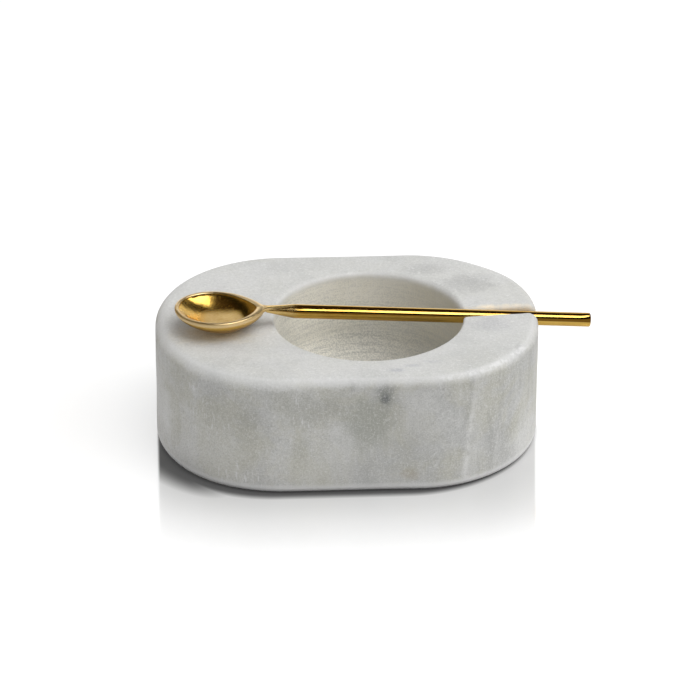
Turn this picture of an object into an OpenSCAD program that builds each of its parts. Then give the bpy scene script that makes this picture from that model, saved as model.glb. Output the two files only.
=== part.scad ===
// Salt cellar: an oval marble block with a drilled well, and a brass spoon that lies across it.
// The spoon's bowl rests on the wide end of the block and its handle lies in a groove at the other end.
// X runs along the block towards the handle's end, Y to the back and Z up.
// The origin is the middle of the face that the block stands on.

/* [Marble block] */
// Length of the block along its long axis
block_l = 108; // [104:1:120]
// Width of the block from front to back
block_w = 78.4; // [77:0.2:88]
// Height of the block
block_h = 35.5; // [32:0.5:44]
// Plan radius of the block's four corners
corner_r = 36; // [26:0.5:38]
// Radius of the softened edge round the top
top_edge_r = 4.2; // [1:0.1:5]
// Radius of the eased edge round the bottom
bottom_edge_r = 2; // [0.5:0.1:4]

/* [Salt well] */
// Diameter of the well
well_d = 53.6; // [46:0.2:58]
// Distance from the block's middle to the well's middle, towards the handle's end
well_x = 6.1; // [2:0.1:8]
// Distance from the block's middle to the well's middle, towards the front
well_front = 1.3; // [0:0.1:3]
// Depth of the well
well_depth = 27; // [18:0.5:28]
// Radius between the well's wall and its floor
well_floor_r = 9; // [2:0.5:12]
// Radius of the eased edge round the well's mouth
well_rim_r = 0.8; // [0.3:0.1:2]

/* [Handle groove] */
// Angle between the groove and the block's long axis
groove_yaw = 4.6; // [0:0.1:6]
// Distance of the groove's middle line from the block's long axis, at the block's end
groove_end_y = 1; // [-4:0.1:5]
// Depth of the groove below the top of the block
groove_depth = 5.4; // [5:0.1:8]
// Gap between the handle and each side of the groove
groove_side_gap = 0.3; // [0.15:0.05:0.8]

/* [Spoon handle] */
// Diameter of the round rod
rod_d = 4; // [3.4:0.1:4.4]
// How far the handle's end stands out past the block
handle_overhang = 15.3; // [8:0.1:22]
// Radius of the eased edge at the handle's end
rod_end_r = 0.35; // [0.1:0.05:0.8]
// Length over which the rod is forged down towards the bowl
taper_l = 8.1; // [6:0.1:14]
// Height of the small shoulder where the forging starts
forge_step = 0.05; // [0.03:0.01:0.1]
// Width of the forged tip
tip_w = 2.4; // [1.8:0.1:3]
// Thickness of the forged tip under the bowl's tongue
tip_t = 0.5; // [0.4:0.05:0.8]
// Height of the tongue's top above the rod's axis, at the forged tip
tip_rise = 1; // [0.8:0.05:1.5]

/* [Spoon bowl] */
// Length of the spoon in plan, from the bowl's tip to the handle's end
spoon_l = 118; // [112:0.2:122]
// Length of the bowl
bowl_l = 25.4; // [22:0.2:28]
// Width of the bowl
bowl_w = 20.5; // [17:0.5:23]
// Height of the bowl from its underside to its rim
bowl_h = 6; // [5.5:0.1:7]
// Thickness of the bowl's wall
bowl_wall = 1.2; // [0.8:0.1:1.4]
// Angle by which the bowl's rim falls towards the handle
bowl_lean = 2.6; // [0:0.1:4]
// Length of the tongue that laps over the handle's tip
tongue_l = 5.6; // [4:0.1:7]
// Thickness of the tongue
tongue_t = 0.7; // [0.5:0.05:0.9]
// How far the tongue's top lies below the bowl's rim
tongue_step = 0.25; // [0.05:0.05:0.5]

/* [Joints and seats] */
// Thickness of the braze between the tongue and the handle's tip
braze_t = 0.1; // [0.05:0.01:0.2]
// Gap between the bowl and the handle's tip, and between the tongue's end and the rod
lap_gap = 0.15; // [0.1:0.05:0.3]
// Gap between the resting spoon and the marble under it
seat_gap = 0.1; // [0.05:0.01:0.3]

/* [Hidden] */
$fn = 96;

// Shares of the bowl's length, counted from its tip: where it is widest and where it is deepest
bowl_wide_share = 0.44;
bowl_deep_share = 0.57;
// How pointed the bowl's two ends are, as powers of a cosine: 1 is an ellipse
tip_point_power = 1;
neck_point_power = 1.5;
// How gently the bowl's underside rises to its tip: 1 is a quarter of an ellipse
tip_slope_power = 1.8;
// Shares of the wall: the roundness of the lip, and the wall's thickness at the neck's point
lip_share = 0.45;
neck_wall_share = 1.5;
// Share of the bowl's outline that the tongue's flared root takes up
root_share = 0.85;
// How square the forged tip's section is: 2 is an ellipse
tip_square_power = 3;

// Numbers of points and rings that shape the bowl, its tongue and the forged taper
bowl_points = 40;
bowl_rings = 8;
flare_steps = 6;
end_steps = 12;
taper_points = 24;
taper_rings = 9;

// Angle down the bowl's wall at the edge of its flat underside
underside_angle = 90 * bowl_rings / (bowl_rings + 1);

// Distance that a cut runs past what it cuts
overrun = 1;

rod_r = rod_d / 2;
well_r = well_d / 2;
groove_w = rod_d + 2 * groove_side_gap;

// Heights of the groove's floor, of the marble top where the bowl rests, and of the bowl's rim
groove_floor_z = block_h - groove_depth;
bowl_seat_z = block_h + seat_gap;

// Along the spoon's own line, measured from the block's end: the bowl's tip, its widest place, its neck
// and the handle's tip
bowl_tip_s = handle_overhang - spoon_l;
bowl_wide_s = bowl_tip_s + bowl_wide_share * bowl_l;
bowl_neck_s = bowl_tip_s + bowl_l;
rod_tip_s = bowl_neck_s + lap_gap;
tongue_under = tongue_step + tongue_t;
flat_under = tongue_under + braze_t;

// The bowl in plan, on both sides of its widest place, and the place where its tilted underside rests
bowl_front = bowl_wide_share * bowl_l;
bowl_back = bowl_l - bowl_front;
bowl_deep_x = (bowl_deep_share - bowl_wide_share) * bowl_l;
bowl_rest_x = bowl_deep_x + (bowl_back - bowl_deep_x) * cos(underside_angle);
rim_z = bowl_seat_z + bowl_h * cos(bowl_lean) + bowl_rest_x * sin(bowl_lean);

// The handle's axis runs from its forged tip down to its seat over the groove's outer end
rim_at_tip_z = rim_z - (rod_tip_s - bowl_wide_s) * tan(bowl_lean);
tip_axis_z = rim_at_tip_z - tongue_step - tip_rise;
seat_axis_z = groove_floor_z + seat_gap + rod_r;
handle_fall = atan((tip_axis_z - seat_axis_z) / -rod_tip_s);
handle_l = (handle_overhang - rod_tip_s) / cos(handle_fall);

// The bowl's outline at q, which runs from -90 at the tip to 90 at the neck
function outline_half(q, half_w) = half_w * pow(cos(q), q < 0 ? tip_point_power : neck_point_power);
function outline_along(q, front, back) = sin(q) * (q < 0 ? front : back);

// The outline as a closed ring, drawn in by an inset, shrunk towards the deepest place by a share
// and set at height z
function bowl_ring(inset, share, z) =
    let (
        front = (bowl_front - inset) * pow(share, tip_slope_power),
        back = (bowl_back - inset * neck_wall_share) * share,
        half_w = (bowl_w / 2 - inset) * share,
        shift = bowl_deep_x * (1 - share),
        half_points = bowl_points / 2
    )
    [
        for (i = [0 : bowl_points - 1])
            let (
                side = i < half_points ? 1 : -1,
                step = i < half_points ? i : bowl_points - i,
                q = -90 + 180 * step / half_points
            )
            [shift + outline_along(q, front, back), -side * outline_half(q, half_w), z]
    ];

// A closed skin through rings with equal numbers of points, flat at both ends.
// Seen from the last ring's end, each ring runs anticlockwise.
module skin(rings) {
    n = len(rings[0]);
    last = len(rings) - 1;
    points = [for (ring = rings) each ring];
    sides = [
        for (k = [0 : last - 1])
            for (i = [0 : n - 1])
                let (j = (i + 1) % n)
                each [
                    [k * n + i, (k + 1) * n + i, (k + 1) * n + j],
                    [k * n + i, (k + 1) * n + j, k * n + j]
                ]
    ];
    first_cap = [for (i = [0 : n - 1]) i];
    last_cap = [for (i = [n - 1 : -1 : 0]) last * n + i];
    polyhedron(points, concat([first_cap], sides, [last_cap]), convexity = 4);
}

// Moves to the groove's middle line, with the start at the block's end
module on_spoon_line() {
    translate([block_l / 2, groove_end_y, 0])
        rotate([0, 0, groove_yaw])
            children();
}

// Moves to the plane of the bowl's rim, below the widest place
module on_rim() {
    on_spoon_line()
        translate([bowl_wide_s, 0, rim_z])
            rotate([0, bowl_lean, 0])
                children();
}

// Moves to the handle's axis, with the start at the forged tip
module on_handle() {
    on_spoon_line()
        translate([rod_tip_s, 0, tip_axis_z])
            rotate([0, handle_fall, 0])
                children();
}

// Half of the block's upright section, from its middle to a wall at half_w
module half_section(half_w) {
    straight_h = block_h - top_edge_r - bottom_edge_r;
    square([half_w - bottom_edge_r, bottom_edge_r]);
    translate([half_w - bottom_edge_r, bottom_edge_r])
        circle(r = bottom_edge_r);
    translate([0, bottom_edge_r])
        square([half_w, straight_h]);
    translate([0, block_h - top_edge_r])
        square([half_w - top_edge_r, top_edge_r]);
    translate([half_w - top_edge_r, block_h - top_edge_r])
        circle(r = top_edge_r);
}

// A straight run of the block, as long as run_l, with walls at half_w on both sides
module straight_run(run_l, half_w) {
    rotate([90, 0, 90])
        linear_extrude(height = run_l, center = true)
            for (side = [0, 1])
                mirror([side, 0])
                    half_section(half_w);
}

module block_body() {
    corner_x = block_l / 2 - corner_r;
    corner_y = block_w / 2 - corner_r;
    for (x_side = [-1, 1])
        for (y_side = [-1, 1])
            translate([x_side * corner_x, y_side * corner_y, 0])
                rotate_extrude()
                    half_section(corner_r);
    straight_run(2 * corner_x, block_w / 2);
    rotate([0, 0, 90])
        straight_run(2 * corner_y, block_l / 2);
}

// The round well, with a rounded floor and an eased mouth
module well_cut() {
    floor_r = min(well_floor_r, well_depth - well_rim_r);
    translate([well_x, -well_front, block_h - well_depth])
        rotate_extrude() {
            square([well_r - floor_r, well_depth + overrun]);
            translate([0, floor_r])
                square([well_r, well_depth - floor_r + overrun]);
            translate([well_r - floor_r, floor_r])
                intersection() {
                    circle(r = floor_r);
                    translate([0, -floor_r])
                        square([floor_r, floor_r]);
                }
            difference() {
                translate([0, well_depth - well_rim_r])
                    square([well_r + well_rim_r, well_rim_r + overrun]);
                translate([well_r + well_rim_r, well_depth - well_rim_r])
                    circle(r = well_rim_r);
            }
        }
}

// The groove from the well out through the block's end, with a round floor as wide as its walls
module groove_cut() {
    run_l = block_l / 2 - well_x;
    floor_axis_z = groove_floor_z + groove_w / 2;
    on_spoon_line()
        translate([-run_l, 0, floor_axis_z])
            rotate([90, 0, 90])
                linear_extrude(height = run_l + overrun) {
                    circle(d = groove_w);
                    translate([-groove_w / 2, 0])
                        square([groove_w, groove_depth + overrun]);
                }
}

// The bowl's tongue in plan: flared where it leaves the bowl, round at its end
module tongue_plan() {
    half = tip_w / 2;
    start = bowl_back - bowl_wall;
    root = root_share * outline_half(asin(start / bowl_back), bowl_w / 2);
    flare = max(root - half, 0);
    flare_l = 2 * bowl_wall;
    stop = bowl_back + lap_gap + tongue_l - half;
    side = [
        for (i = [0 : flare_steps])
            [start + flare_l * i / flare_steps, half + flare * pow(1 - i / flare_steps, 2)]
    ];
    other_side = [for (i = [flare_steps : -1 : 0]) [side[i][0], -side[i][1]]];
    round_end = [
        for (i = [0 : end_steps])
            let (a = 90 - 180 * i / end_steps)
            [stop + half * cos(a), half * sin(a)]
    ];
    polygon(concat(side, round_end, other_side));
}

// The rod's round section at share 0, drawn into the forged tip's flat one at share 1
function taper_ring(x, share) =
    let (
        start_r = rod_r - forge_step,
        half_w = start_r + (tip_w / 2 - start_r) * share,
        tip_half_h = (tongue_t + braze_t + tip_t) / 2,
        half_h = start_r + (tip_half_h - start_r) * share,
        z = (tip_rise - tip_half_h) * share,
        power = 2 / (2 + (tip_square_power - 2) * share)
    )
    [
        for (i = [0 : taper_points - 1])
            let (a = 360 * i / taper_points)
            [
                x,
                half_w * sign(cos(a)) * pow(abs(cos(a)), power),
                z + half_h * sign(sin(a)) * pow(abs(sin(a)), power)
            ]
    ];

module marble_block() {
    color([0.83, 0.83, 0.82])
        difference() {
            block_body();
            well_cut();
            groove_cut();
        }
}

module spoon_bowl() {
    lip = bowl_wall * lip_share;
    lip_top = lip * (1 - sin(45));
    lip_side = lip * (1 - cos(45));
    deepest = sin(underside_angle);
    outer = [
        for (k = [bowl_rings : -1 : 1])
            let (a = underside_angle * k / bowl_rings)
            bowl_ring(0, cos(a), -lip - (bowl_h - lip) * sin(a) / deepest)
    ];
    rim = [
        bowl_ring(0, 1, -lip),
        bowl_ring(lip_side, 1, -lip_top),
        bowl_ring(lip, 1, 0),
        bowl_ring(bowl_wall - lip, 1, 0),
        bowl_ring(bowl_wall - lip_side, 1, -lip_top)
    ];
    inner = [
        for (k = [0 : bowl_rings])
            let (a = underside_angle * k / bowl_rings)
            bowl_ring(bowl_wall, cos(a), -lip - (bowl_h - lip - bowl_wall) * sin(a) / deepest)
    ];
    color([0.79, 0.62, 0.33])
        on_rim() {
            skin(concat(outer, rim, inner));
            translate([0, 0, -tongue_under])
                linear_extrude(height = tongue_t)
                    tongue_plan();
        }
}

module spoon_handle() {
    rings = [
        for (k = [0 : taper_rings])
            let (share = 1 - k / taper_rings)
            taper_ring(taper_l * k / taper_rings, share),
        taper_ring(taper_l + rod_r, 0)
    ];
    color([0.79, 0.62, 0.33])
        difference() {
            on_handle() {
                skin(rings);
                translate([taper_l, 0, 0])
                    rotate([0, 90, 0])
                        rotate_extrude() {
                            square([rod_r, handle_l - taper_l - rod_end_r]);
                            square([rod_r - rod_end_r, handle_l - taper_l]);
                            translate([rod_r - rod_end_r, handle_l - taper_l - rod_end_r])
                                circle(r = rod_end_r);
                        }
            }
            on_rim()
                translate([bowl_back - overrun, -rod_d, -flat_under])
                    cube([overrun + tongue_l + 2 * lap_gap, 2 * rod_d, rod_d]);
        }
}

module braze_joint() {
    color([0.72, 0.55, 0.27])
        on_rim()
            translate([0, 0, -flat_under])
                linear_extrude(height = braze_t)
                    intersection() {
                        tongue_plan();
                        translate([bowl_back + lap_gap, -rod_r])
                            square([tongue_l, rod_d]);
                    }
}

marble_block();
spoon_bowl();
spoon_handle();
braze_joint();
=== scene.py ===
import math

import bpy
import numpy as np
from mathutils import Matrix, Vector


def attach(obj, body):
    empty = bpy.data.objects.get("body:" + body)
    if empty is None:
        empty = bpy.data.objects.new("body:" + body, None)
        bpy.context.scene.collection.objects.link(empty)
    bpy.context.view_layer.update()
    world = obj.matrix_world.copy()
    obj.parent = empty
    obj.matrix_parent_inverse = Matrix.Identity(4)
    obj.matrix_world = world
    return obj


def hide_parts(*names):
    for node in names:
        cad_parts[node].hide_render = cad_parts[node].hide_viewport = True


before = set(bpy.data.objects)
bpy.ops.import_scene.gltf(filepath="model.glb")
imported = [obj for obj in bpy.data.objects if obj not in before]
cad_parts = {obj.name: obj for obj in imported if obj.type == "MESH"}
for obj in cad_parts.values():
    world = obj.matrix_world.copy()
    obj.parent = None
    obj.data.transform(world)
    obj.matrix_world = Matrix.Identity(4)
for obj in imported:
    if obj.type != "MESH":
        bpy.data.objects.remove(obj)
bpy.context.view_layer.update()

mm = 0.001                      # every size below is in millimetres, every mesh in metres
print("frame loaded")


# Wraps a node's output, so that shader maths reads as plain sums
class Signal:
    def __init__(self, graph, socket):
        self.graph = graph
        self.socket = socket

    def join(self, operation, first, second):
        return self.graph.add("ShaderNodeMath", {"operation": operation}, {0: first, 1: second})

    def __add__(self, other):
        return self.join("ADD", self, other)

    __radd__ = __add__

    def __sub__(self, other):
        return self.join("SUBTRACT", self, other)

    def __rsub__(self, other):
        return self.join("SUBTRACT", other, self)

    def __mul__(self, other):
        return self.join("MULTIPLY", self, other)

    __rmul__ = __mul__

    def __pow__(self, other):
        return self.join("POWER", self, other)

    def high(self, other):
        return self.join("MAXIMUM", self, other)

    # 0 below start, 1 above end, eased between them
    def step(self, start, end):
        return self.graph.add(
            "ShaderNodeMapRange",
            {"interpolation_type": "SMOOTHSTEP"},
            {"Value": self, "From Min": start, "From Max": end},
        )

    # The same over a span given in millimetres
    def rise(self, span):
        return self.step(span[0] * mm, span[1] * mm)

    # The same as step, at a strength
    def layer(self, start, end, share):
        return self.step(start, end) * share


# The Light Path node's outputs, by number
rayOutputs = {"camera": 0, "glossy": 3, "transmission": 6, "length": 7}


# A node tree that grows by one call
class Graph:
    def __init__(self, tree):
        self.tree = tree
        self.tree.nodes.clear()

    # Adds any node: its type, its settings, then the values or links of its sockets
    def add(self, kind, settings=None, inputs=None, output=0):
        node = self.tree.nodes.new(kind)
        for key, value in (settings or {}).items():
            setattr(node, key, value)
        for key, value in (inputs or {}).items():
            if isinstance(value, Signal):
                self.tree.links.new(value.socket, node.inputs[key])
            else:
                node.inputs[key].default_value = value
        return Signal(self, node.outputs[output]) if node.outputs else None

    # A cloud pattern, which may be moved and then pulled out along an axis
    def noise(self, where, scale, detail, roughness, twist=0.0, move=None, pull=None):
        if move:
            where = self.shift(where, move)
        if pull:
            where = self.stretch(where, pull)
        return self.add(
            "ShaderNodeTexNoise",
            {"normalize": True},
            {"Vector": where, "Scale": scale, "Detail": detail, "Roughness": roughness, "Distortion": twist},
        )

    def blend(self, amount, first, second):
        return self.add(
            "ShaderNodeMix", {"data_type": "RGBA", "clamp_factor": True}, {0: amount, 6: first, 7: second}, 2
        )

    def shift(self, where, amount):
        return self.add("ShaderNodeVectorMath", {"operation": "ADD"}, {0: where, 1: amount})

    def stretch(self, where, amount):
        return self.add("ShaderNodeVectorMath", {"operation": "MULTIPLY"}, {0: where, 1: amount})

    def length(self, where):
        return self.add("ShaderNodeVectorMath", {"operation": "LENGTH"}, {0: where}, 1)

    # How far a place lies along a direction
    def along(self, where, way):
        return self.add("ShaderNodeVectorMath", {"operation": "DOT_PRODUCT"}, {0: where, 1: tuple(way)}, 1)

    # A place's own coordinates: to the right, to the back and up
    def parts(self, where):
        first = self.add("ShaderNodeSeparateXYZ", None, {0: where})
        return [Signal(self, output) for output in first.socket.node.outputs]

    def surfacePlace(self):
        return self.add("ShaderNodeTexCoord", None, None, 3)

    # What kind of ray looks at the surface, or how long it is
    def ray(self, output):
        return self.add("ShaderNodeLightPath", None, None, rayOutputs[output])


def newFinish(name):
    material = bpy.data.materials.new(name)
    material.use_nodes = True
    return material, Graph(material.node_tree)


def makeBump(graph, bump, relief):
    strength, deep = bump
    return graph.add("ShaderNodeBump", None, {"Strength": strength, "Distance": deep * mm, "Height": relief})


# Ends a finish: one shader with its constant values, and what varies over the surface
def closeFinish(graph, constants, varying):
    shader = graph.add("ShaderNodeBsdfPrincipled", None, {**constants, **varying})
    graph.add("ShaderNodeOutputMaterial", None, {"Surface": shader})


def grey(level):
    return (level, level, level, 1)


# The camera, fitted to the photograph: its distance from the middle of the block's underside,
# its height over the table and its turn to the left, and the pixel where that middle shows
camera = {
    "distance": 1100,
    "height": 29.19,            # degrees
    "turn": 2.84,               # degrees
    "focalPixels": 3839.95,
    "framePixels": 700,
    "middlePixel": (346.55, 423.79),
    "sensor": 36,
    "clip": (50, 20000),
}


def makeCamera():
    height = math.radians(camera["height"])
    turn = math.radians(camera["turn"])
    back = Vector((-math.sin(turn) * math.cos(height), -math.cos(turn) * math.cos(height), math.sin(height)))
    right = Vector((math.cos(turn), -math.sin(turn), 0))
    up = back.cross(right)
    halfFrame = camera["framePixels"] / 2
    lookRight = math.atan((halfFrame - camera["middlePixel"][0]) / camera["focalPixels"])
    lookUp = math.atan((camera["middlePixel"][1] - halfFrame) / camera["focalPixels"])
    aim = Matrix((right, up, back)).transposed().to_4x4()
    aim = aim @ Matrix.Rotation(-lookRight, 4, "Y") @ Matrix.Rotation(lookUp, 4, "X")
    data = bpy.data.cameras.new("camera")
    data.sensor_width = camera["sensor"]
    data.lens = camera["focalPixels"] * camera["sensor"] / camera["framePixels"]
    data.clip_start, data.clip_end = [c * mm for c in camera["clip"]]
    holder = bpy.data.objects.new("camera", data)
    bpy.context.scene.collection.objects.link(holder)
    holder.matrix_world = Matrix.Translation(back * camera["distance"] * mm) @ aim
    bpy.context.scene.camera = holder


makeCamera()
print("camera placed")


# Shape helpers, all in millimetres

def meshObject(name, points, faces):
    mesh = bpy.data.meshes.new(name)
    mesh.from_pydata([tuple(p) for p in np.asarray(points) * mm], [], faces)
    mesh.validate()
    holder = bpy.data.objects.new(name, mesh)
    bpy.context.scene.collection.objects.link(holder)
    return holder


def applyModifiers(holder):
    graph = bpy.context.evaluated_depsgraph_get()
    finished = bpy.data.meshes.new_from_object(holder.evaluated_get(graph))
    holder.modifiers.clear()
    old = holder.data
    holder.data = finished
    bpy.data.meshes.remove(old)


# Joins or cuts one piece with a tool piece, which is then thrown away
def combine(holder, tool, operation):
    modifier = holder.modifiers.new("combine", "BOOLEAN")
    modifier.operation = operation
    modifier.solver = "EXACT"
    modifier.object = tool
    bpy.context.view_layer.update()
    applyModifiers(holder)
    bpy.data.objects.remove(tool)


def smoothShade(holder, sharpAngle):
    holder.data.shade_smooth()
    holder.data.set_sharp_from_angle(angle=math.radians(sharpAngle))


# A closed skin through rings with equal numbers of points, flat at both ends
def skin(rings):
    count = len(rings[0])
    points = np.concatenate(rings)
    faces = [tuple(range(count))]
    for k in range(len(rings) - 1):
        for i in range(count):
            j = (i + 1) % count
            faces.append((k * count + i, (k + 1) * count + i, (k + 1) * count + j, k * count + j))
    last = (len(rings) - 1) * count
    faces.append(tuple(last + i for i in reversed(range(count))))
    return points, faces


# The marble block
block = {
    "length": 108,
    "width": 78.4,
    "height": 35.5,
    "corner": 36,               # plan radius
    "topEdge": 4.2,
    "tightTopEdge": 3.0,        # the top edge is tighter at the front and at the groove's end
    "tightEnd": (38, 50),
    "tightFront": (22, 36),
    "tightFrontStart": (-40, 0),
    "bottomEdge": 2.0,
    "wellAcross": 53.6,
    "wellX": 6.1,
    "wellFront": 1.3,
    "wellDeep": 27,
    "wellFloorEdge": 9,
    "wellRim": 0.7,
    "wellBackRim": 1.7,
    "wellBackRimSpan": (-6, 18),
    "grooveYaw": 4.6,           # degrees
    "grooveEndY": 1,
    "grooveDeep": 5.4,
    "grooveAcross": 4.6,
    "grooveRim": 0.45,
    "grooveInnerRim": 0.9,
    "grooveInnerSpan": (14, 24),
    "grooveBackRim": 0.9,       # more on the groove's back edge
    "grooveBackSpan": (0, 2),
    "wobble": 0.09,             # how far the hand-finished faces stray
    "wobbleWaves": 18,
    "wobbleLengths": (16, 60),
    "mesh": 0.72,               # width of a face
    "seed": 7,
}


# Distance to the edge of two shapes' overlap, with that edge rounded by a radius
def overlap(first, second, radius):
    reach = np.sqrt(np.maximum(first + radius, 0) ** 2 + np.maximum(second + radius, 0) ** 2)
    return np.minimum(-radius, np.maximum(first, second)) + reach


# 0 before a span, 1 after it, eased between
def easeStep(value, span):
    share = np.clip((value - span[0]) / (span[1] - span[0]), 0, 1)
    return share * share * (3 - 2 * share)


class BlockField:
    def __init__(self):
        source = np.random.default_rng(block["seed"])
        ways = source.normal(size=(block["wobbleWaves"], 3))
        ways /= np.linalg.norm(ways, axis=1)[:, None]
        lengths = source.uniform(*block["wobbleLengths"], block["wobbleWaves"])
        self.waves = ways * (2 * math.pi / lengths)[:, None]
        self.starts = source.uniform(0, 2 * math.pi, block["wobbleWaves"])

    def wobble(self, p):
        total = np.zeros(p.shape[:-1])
        for wave, start in zip(self.waves, self.starts):
            total += np.sin(p @ wave + start)
        return total * block["wobble"] / math.sqrt(block["wobbleWaves"])

    # Distance to the stone's surface, below 0 in the stone
    def __call__(self, p):
        x, y, z = p[..., 0], p[..., 1], p[..., 2]
        corner = block["corner"]
        qx = np.abs(x) - (block["length"] / 2 - corner)
        qy = np.abs(y) - (block["width"] / 2 - corner)
        plan = np.hypot(np.maximum(qx, 0), np.maximum(qy, 0)) + np.minimum(np.maximum(qx, qy), 0) - corner
        atFront = easeStep(-y, block["tightFront"]) * easeStep(x, block["tightFrontStart"])
        tight = np.maximum(easeStep(x, block["tightEnd"]), atFront)
        topEdge = block["topEdge"] + (block["tightTopEdge"] - block["topEdge"]) * tight
        stone = np.where(
            z > block["height"] / 2,
            overlap(plan, z - block["height"], topEdge),
            overlap(plan, -z, block["bottomEdge"]),
        )
        across = np.hypot(x - block["wellX"], y + block["wellFront"]) - block["wellAcross"] / 2
        floor = block["height"] - block["wellDeep"] - z
        well = overlap(across, floor, block["wellFloorEdge"])
        yaw = math.radians(block["grooveYaw"])
        fromEnd = x - block["length"] / 2
        along = fromEnd * math.cos(yaw) + (y - block["grooveEndY"]) * math.sin(yaw)
        side = -fromEnd * math.sin(yaw) + (y - block["grooveEndY"]) * math.cos(yaw)
        half = block["grooveAcross"] / 2
        axis = block["height"] - block["grooveDeep"] + half
        groove = np.where(z > axis, np.abs(side), np.hypot(side, z - axis)) - half
        groove = np.maximum(groove, -(along + block["length"] / 2 - block["wellX"]))
        atBack = easeStep(y, block["wellBackRimSpan"])
        wellRim = block["wellRim"] + (block["wellBackRim"] - block["wellRim"]) * atBack
        carved = overlap(stone, -well, wellRim)
        atWell = easeStep(-along, block["grooveInnerSpan"])
        grooveRim = block["grooveRim"] + (block["grooveInnerRim"] - block["grooveRim"]) * atWell
        grooveRim = grooveRim + block["grooveBackRim"] * easeStep(side, block["grooveBackSpan"])
        return overlap(carved, -groove, grooveRim) + self.wobble(p)


def slopes(field, p, reach=0.02):
    parts = []
    for axis in range(3):
        move = np.zeros(3)
        move[axis] = reach
        parts.append((field(p + move) - field(p - move)) / (2 * reach))
    return np.stack(parts, -1)


# Four-sided faces over a field's zero surface: one point in each cell that the surface crosses
def netOver(field, low, high, size, rounds=4):
    axes = [np.arange(a, b + size, size) for a, b in zip(low, high)]
    slices = [np.stack(np.meshgrid([x], axes[1], axes[2], indexing="ij"), -1) for x in axes[0]]
    values = np.stack([field(layer)[0] for layer in slices])
    cells = np.array(values.shape) - 1
    total = np.zeros((cells.prod(), 3))
    hits = np.zeros(cells.prod())
    quads = []
    for axis in range(3):
        u, v = (axis + 1) % 3, (axis + 2) % 3
        before = np.take(values, range(cells[axis]), axis)
        after = np.take(values, range(1, cells[axis] + 1), axis)
        edge = np.argwhere((before < 0) != (after < 0))
        first, second = before[tuple(edge.T)], after[tuple(edge.T)]
        crossing = edge.astype(float)
        crossing[:, axis] += first / (first - second)
        around = []
        for stepU, stepV in ((1, 1), (0, 1), (0, 0), (1, 0)):
            cell = edge.copy()
            cell[:, u] -= stepU
            cell[:, v] -= stepV
            flat = (cell[:, 0] * cells[1] + cell[:, 1]) * cells[2] + cell[:, 2]
            around.append(flat)
            for k in range(3):
                total[:, k] += np.bincount(flat, crossing[:, k], len(total))
            hits += np.bincount(flat, minlength=len(hits))
        quad = np.stack(around, -1)
        quads.append(np.where((first < 0)[:, None], quad, quad[:, ::-1]))
    used = np.flatnonzero(hits)
    places = np.full(len(hits), -1)
    places[used] = np.arange(len(used))
    points = np.array(low) + size * total[used] / hits[used][:, None]
    for _ in range(rounds):
        slope = slopes(field, points)
        points -= (field(points) / (slope ** 2).sum(-1))[:, None] * slope
    return points, places[np.concatenate(quads)]


def makeBlock():
    field = BlockField()
    edge = 2 * block["mesh"]
    halfX, halfY = block["length"] / 2 + edge, block["width"] / 2 + edge
    low, high = (-halfX, -halfY, -edge), (halfX, halfY, block["height"] + edge)
    points, quads = netOver(field, low, high, block["mesh"])
    points[:, 2] = np.maximum(points[:, 2], 0)
    piece = meshObject("marbleBlock", points, quads.tolist())
    normals = slopes(field, points)
    normals /= np.linalg.norm(normals, axis=1)[:, None]
    piece.data.shade_smooth()
    piece.data.normals_split_custom_set_from_vertices(normals.tolist())
    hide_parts("marble_block")
    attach(piece, "block")
    print("marble block:", len(points), "points,", len(quads), "faces")
    return piece


# The spoon; its own line starts over the block's end, in the groove's direction
spoon = {
    "long": 118,                # in plan
    "overhang": 15.3,
    "seatGap": 0.1,
    "bowlLong": 25.4,
    "bowlAcross": 20.5,
    "bowlHigh": 6,
    "bowlWall": 1.2,
    "bowlLean": 2.6,            # degrees
    "wideShare": 0.44,
    "deepShare": 0.57,
    "neckPoint": 1.5,
    "tipSlope": 1.8,
    "lipShare": 0.45,
    "neckWallShare": 2.1,
    "undersideAngle": 80,       # degrees
    "hollowSlope": 30,          # degrees
    "bowlPoints": 128,
    "bowlRings": 16,
    "lipRings": 5,
    "rod": 4,
    "rodEdge": 0.35,
    "rodEdgeTurns": (30, 60, 90),
    "rodPoints": 48,
    "rodRings": 34,
    "taper": 8.1,
    "taperRings": 26,
    "tipAcross": 2.4,
    "tipThick": 0.5,
    "tipRise": 1,
    "tongueLong": 5.6,
    "tongueThick": 0.7,
    "tongueStep": 0.25,
    "tongueEdge": 0.16,
    "tongueRound": [(0.7, 0), (0.25, 0.25), (0, 0.8)],   # inset and drop, as shares of tongueEdge
    "tongueSteps": (10, 18),
    "rootShare": 0.85,
    "braze": 0.1,
    "lapGap": 0.15,
    "lapCutBefore": 1,
    "sharpAngle": 38,           # degrees
}


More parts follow.
